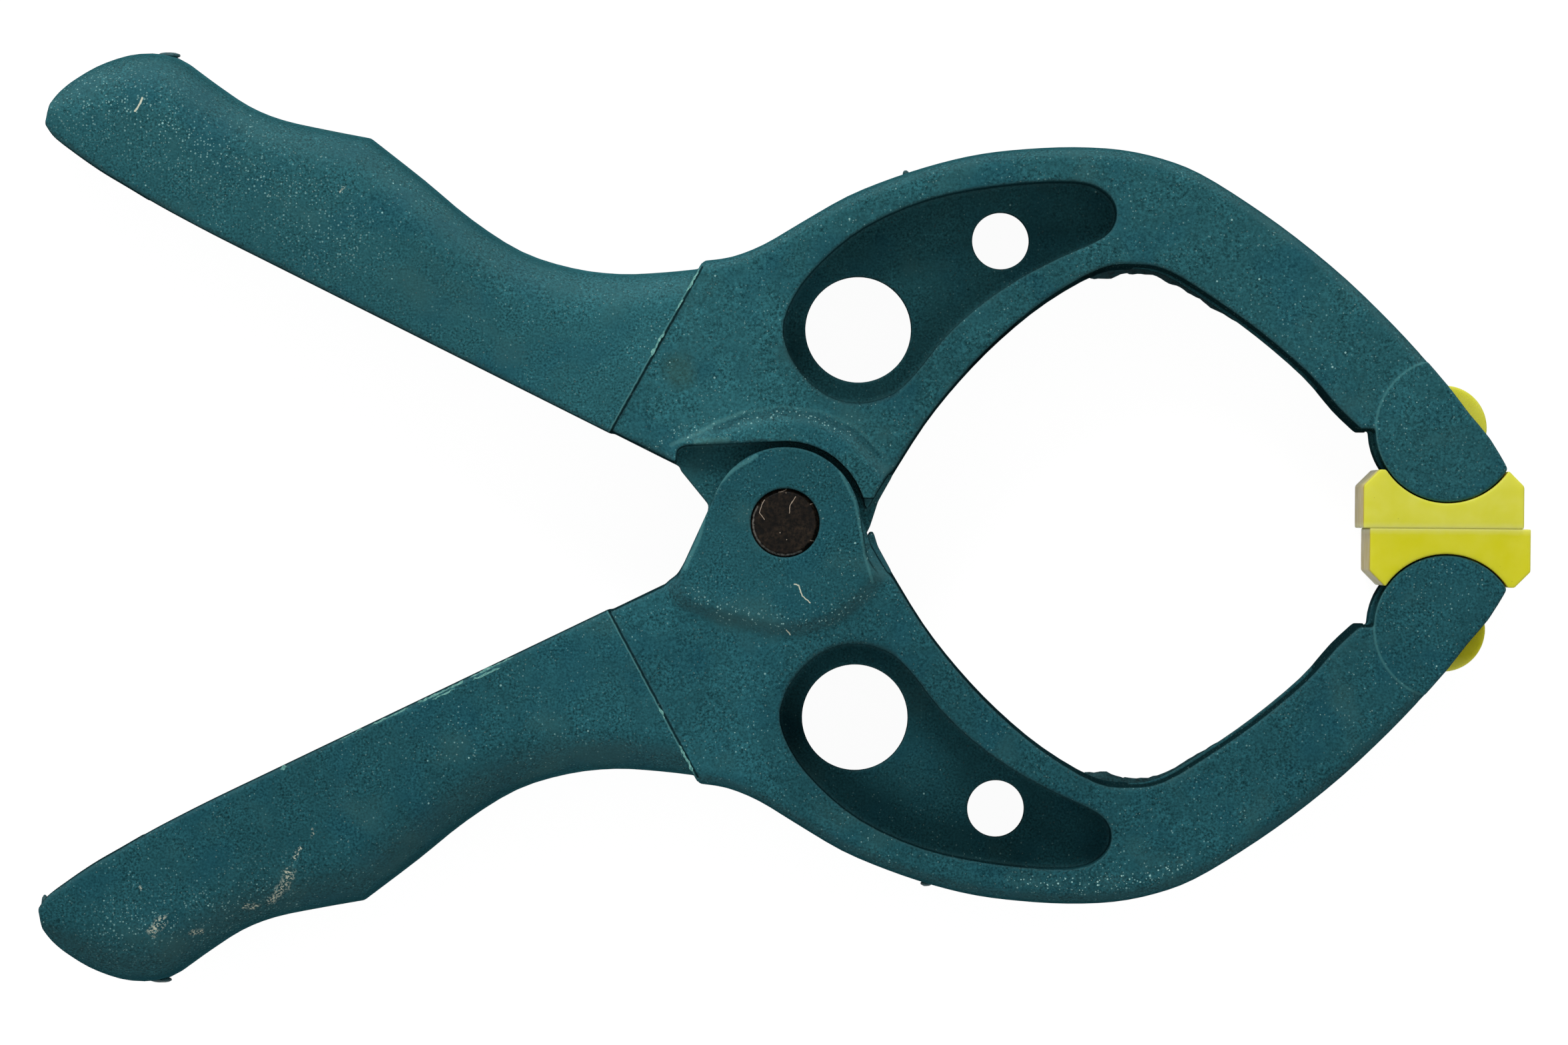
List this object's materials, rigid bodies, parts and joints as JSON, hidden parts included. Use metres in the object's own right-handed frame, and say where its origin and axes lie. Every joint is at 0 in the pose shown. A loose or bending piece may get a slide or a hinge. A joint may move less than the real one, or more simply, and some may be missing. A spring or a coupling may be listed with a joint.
{
  "type": "spring clamp",
  "caption": "Hand-squeezed spring clamp with scalloped handles, curved jaws round an open throat, and swivelling jaw pads that snap onto the jaw ends.",
  "frame": {"origin": "on the pivot axis, in the plane of the outer ear face that the clamp lies on", "axes": "+X from the pivot towards the jaws, +Y from the lower arm towards the upper arm, +Z along the pivot pin, up from the surface that the clamp lies on"},
  "size_m": [0.1119, 0.0702, 0.015],
  "materials": {
    "arm_plastic": "fine moulded grain, dark blue-green",
    "pad_plastic": "soft satin, yellow-green",
    "pin_steel": "blackened, slightly worn",
    "spring_wire": "bright drawn wire"
  },
  "bodies": {
    "lower": {"lower_arm": "arm_plastic", "pivot_pin": "pin_steel", "torsion_spring": "spring_wire"},
    "upper": {"upper_arm": "arm_plastic"},
    "upper_jaw_pad": {"upper_pad": "pad_plastic"},
    "lower_jaw_pad": {"lower_pad": "pad_plastic"}
  },
  "joints": [
    {"name": "jaw_hinge", "type": "hinge", "parent": "lower", "child": "upper", "pos_m": [0, 0, 0.0075], "axis": [0, 0, 1], "range_deg": [0, 50], "stiffness_Nm_per_rad": 0.05, "springref_deg": -34.38, "deforming": ["torsion_spring"]},
    {"name": "upper_pad_swivel", "type": "hinge", "parent": "upper", "child": "upper_jaw_pad", "pos_m": [0.0497, 0.0074, 0.0075], "axis": [0, 0, 1], "range_deg": [-25, 0]},
    {"name": "lower_pad_swivel", "type": "hinge", "parent": "lower", "child": "lower_jaw_pad", "pos_m": [0.0497, -0.0074, 0.0075], "axis": [0, 0, 1], "range_deg": [0, 25]}
  ],
  "couplings": [
    {"joint": "upper_pad_swivel", "follows": "jaw_hinge", "ratio": -0.5},
    {"joint": "lower_pad_swivel", "follows": "jaw_hinge", "ratio": 0.5}
  ]
}
